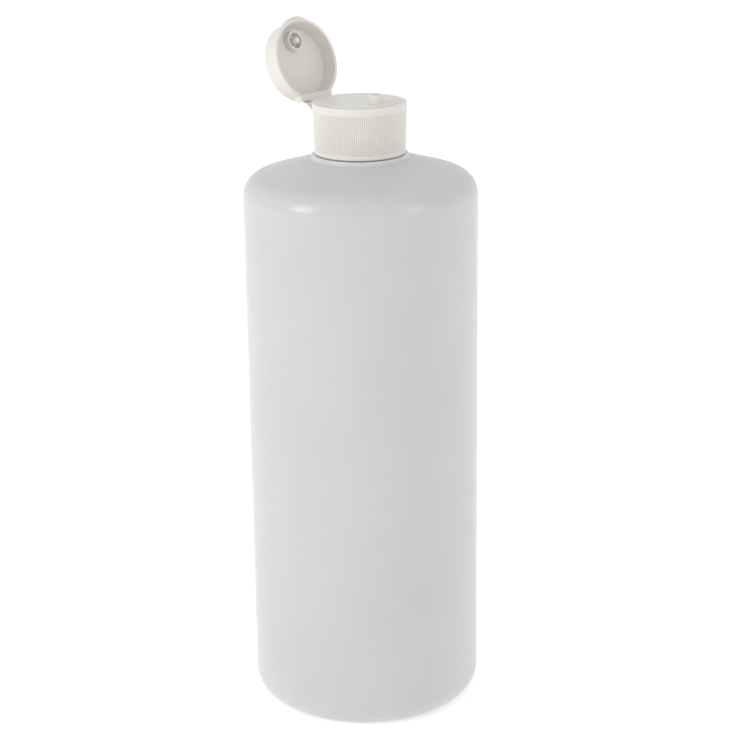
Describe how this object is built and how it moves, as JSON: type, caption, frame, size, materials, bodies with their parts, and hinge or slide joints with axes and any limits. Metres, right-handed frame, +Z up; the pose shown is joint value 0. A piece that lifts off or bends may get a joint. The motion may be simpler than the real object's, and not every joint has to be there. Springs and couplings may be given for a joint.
{
  "type": "squeeze bottle",
  "caption": "Tall round squeeze bottle in milky translucent plastic, with a ribbed screw closure, a small nozzle and a flip lid that stands open.",
  "frame": {"origin": "on the bottle's axis, at the surface that it stands on", "axes": "+Z up along the bottle's axis, -Y towards the front, where the nozzle and the lid's thumb tab are, +Y towards the hinge"},
  "size_m": [0.083, 0.083, 0.2486],
  "materials": {
    "natural_polyethylene": "satin, milky and slightly translucent",
    "white_polypropylene": "satin, warm white"
  },
  "bodies": {
    "bottle": {"bottle": "natural_polyethylene"},
    "closure": {"cap_base": "white_polypropylene"},
    "lid": {"flip_lid": "white_polypropylene"}
  },
  "joints": [
    {"name": "cap_lift", "type": "slide", "parent": "bottle", "child": "closure", "axis": [0, 0, 1], "range_m": [0, 0.03]},
    {"name": "lid_hinge", "type": "hinge", "parent": "closure", "child": "lid", "pos_m": [0, 0.01655, 0.21886], "axis": [-1, 0, 0], "range_deg": [-109.4, 70.6]}
  ]
}
